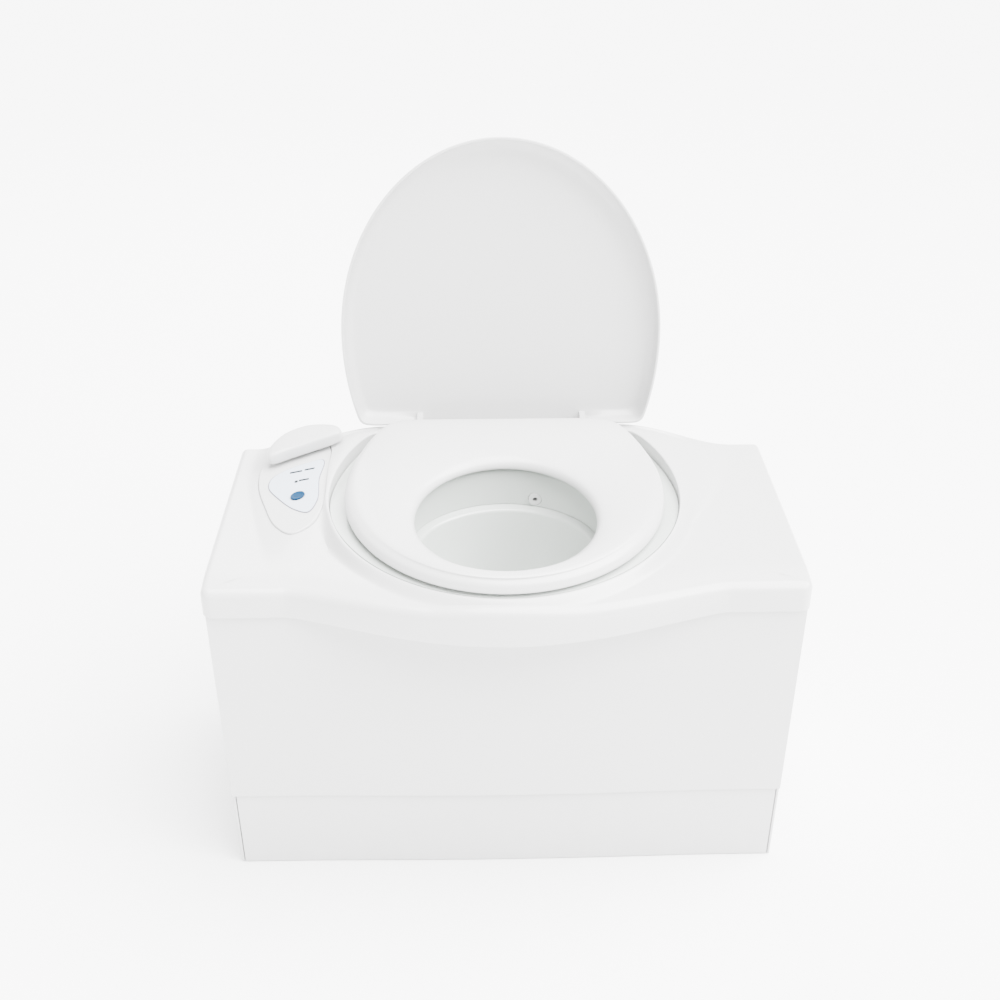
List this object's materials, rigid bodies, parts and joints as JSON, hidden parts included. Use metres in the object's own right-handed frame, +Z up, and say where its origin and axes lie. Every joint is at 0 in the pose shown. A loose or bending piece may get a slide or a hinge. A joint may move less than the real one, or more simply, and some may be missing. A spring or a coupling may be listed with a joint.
{
  "type": "cassette toilet",
  "caption": "Bench cassette toilet for a caravan: round bowl, lifting seat and lid, control pad, turning waste-valve handle, flush tank and a waste cassette that slides out at the rear.",
  "frame": {"origin": "on the floor, under the middle of the bench", "axes": "+X to the right as seen from the front, +Y to the rear, +Z up"},
  "size_m": [0.7, 0.4607, 0.831],
  "materials": {
    "white_moulding": "satin-gloss white moulded plastic",
    "bowl_white": "glossy white with a faint green-grey shade",
    "membrane_white": "fine matt film",
    "button_blue": "smooth blue",
    "grey_moulding": "fine-grained grey plastic",
    "tank_plastic": "blow-moulded pale grey plastic",
    "dark_plastic": "dark grey moulded plastic",
    "rubber": "matt rubber",
    "steel": "bright turned steel",
    "circuit_green": "green lacquered board"
  },
  "bodies": {
    "bench": {"base_tray": "grey_moulding", "plinth": "white_moulding", "front_panel": "white_moulding", "side_panel_left": "white_moulding", "side_panel_right": "white_moulding", "back_frame": "white_moulding", "bay_wall_left": "grey_moulding", "bay_wall_right": "grey_moulding", "support_shelf": "grey_moulding", "runner_left": "tank_plastic", "runner_right": "tank_plastic", "floor_screw_1": "steel", "floor_screw_2": "steel", "floor_screw_3": "steel", "floor_screw_4": "steel", "bench_top": "white_moulding", "bowl_rim": "bowl_white", "bowl": "bowl_white", "bowl_seal": "rubber", "flush_nozzle": "white_moulding", "flush_hose": "dark_plastic", "water_tank": "tank_plastic", "pump": "dark_plastic", "fill_neck": "dark_plastic", "drain_plug": "rubber", "control_pod": "white_moulding", "control_membrane": "membrane_white", "control_board": "circuit_green", "indicator_lens": "dark_plastic", "pump_cable": "rubber", "handle_bush": "grey_moulding", "shaft_bracket": "grey_moulding", "hinge_base": "white_moulding", "hinge_pin_left": "steel", "hinge_pin_right": "steel"},
    "lid": {"lid": "white_moulding"},
    "seat": {"seat": "white_moulding", "seat_bumper_front_left": "rubber", "seat_bumper_front_right": "rubber", "seat_bumper_rear_left": "rubber", "seat_bumper_rear_right": "rubber"},
    "valve_handle": {"valve_handle": "white_moulding", "handle_spindle": "dark_plastic"},
    "transfer_crank": {"transfer_crank": "dark_plastic"},
    "connecting_rod": {"connecting_rod": "steel"},
    "drive_lever": {"drive_lever": "dark_plastic"},
    "cassette": {"cassette_tank": "tank_plastic", "handle_bracket_left": "tank_plastic", "handle_bracket_right": "tank_plastic", "lip_seal": "rubber", "float_bracket": "grey_moulding"},
    "valve_blade": {"valve_blade": "grey_moulding", "blade_dog": "dark_plastic"},
    "pour_spout": {"pour_spout": "grey_moulding"},
    "spout_cap": {"spout_cap": "dark_plastic"},
    "vent_button": {"vent_button": "button_blue"},
    "carry_handle": {"carry_handle": "dark_plastic"},
    "level_float": {"level_float": "dark_plastic"},
    "fill_cap": {"fill_cap": "white_moulding"},
    "flush_button": {"flush_button": "button_blue"}
  },
  "joints": [
    {"name": "lid_hinge", "type": "hinge", "parent": "bench", "child": "lid", "pos_m": [0, 0.152, 0.468], "axis": [1, 0, 0], "range_deg": [0, 102]},
    {"name": "seat_hinge", "type": "hinge", "parent": "bench", "child": "seat", "pos_m": [0, 0.152, 0.468], "axis": [1, 0, 0], "range_deg": [-102, 0]},
    {"name": "valve_handle_turn", "type": "hinge", "parent": "bench", "child": "valve_handle", "pos_m": [-0.248, 0.126, 0.4453], "axis": [0.1959, 0.049, -0.9794], "range_deg": [-85, 0]},
    {"name": "crank_turn", "type": "hinge", "parent": "bench", "child": "transfer_crank", "pos_m": [-0.23899, 0.12825, 0.3], "axis": [0, 0, -1], "range_deg": [-85, 0]},
    {"name": "rod_pivot", "type": "hinge", "parent": "transfer_crank", "child": "connecting_rod", "pos_m": [-0.26899, 0.12779, 0.25], "axis": [0, 0, -1], "range_deg": [0, 85]},
    {"name": "lever_turn", "type": "hinge", "parent": "bench", "child": "drive_lever", "pos_m": [-0.08, -0.04, 0.245], "axis": [0, 0, -1], "range_deg": [-85, 0]},
    {"name": "cassette_slide", "type": "slide", "parent": "bench", "child": "cassette", "axis": [0, 1, 0], "range_m": [0, 0.35]},
    {"name": "blade_turn", "type": "hinge", "parent": "cassette", "child": "valve_blade", "pos_m": [-0.08, -0.04, 0.228], "axis": [0, 0, -1], "range_deg": [-85, 0]},
    {"name": "spout_swivel", "type": "hinge", "parent": "cassette", "child": "pour_spout", "pos_m": [0.156, 0.138, 0.18], "axis": [0, 0, -1], "range_deg": [0, 90]},
    {"name": "spout_cap_turn", "type": "hinge", "parent": "pour_spout", "child": "spout_cap", "pos_m": [0.066, 0.138, 0.202], "axis": [-1, 0, 0], "range_deg": [0, 90]},
    {"name": "vent_button_press", "type": "slide", "parent": "cassette", "child": "vent_button", "axis": [0, -1, 0], "range_m": [0, 0.004], "stiffness_N_per_m": 200},
    {"name": "carry_handle_fold", "type": "hinge", "parent": "cassette", "child": "carry_handle", "pos_m": [0, 0.164, 0.14], "axis": [1, 0, 0], "range_deg": [0, 90]},
    {"name": "float_swing", "type": "hinge", "parent": "cassette", "child": "level_float", "pos_m": [0.11, -0.03, 0.205], "axis": [1, 0, 0], "range_deg": [-45, 0]},
    {"name": "fill_cap_turn", "type": "hinge", "parent": "bench", "child": "fill_cap", "pos_m": [0.27, 0.174, 0.25], "axis": [0, 1, 0], "range_deg": [0, 90]},
    {"name": "flush_button_press", "type": "slide", "parent": "bench", "child": "flush_button", "axis": [0, 0, -1], "range_m": [0, 0.0015], "stiffness_N_per_m": 400}
  ],
  "couplings": [
    {"joint": "crank_turn", "follows": "valve_handle_turn", "ratio": 1},
    {"joint": "rod_pivot", "follows": "valve_handle_turn", "ratio": -1},
    {"joint": "lever_turn", "follows": "valve_handle_turn", "ratio": 1},
    {"joint": "blade_turn", "follows": "valve_handle_turn", "ratio": 1}
  ]
}
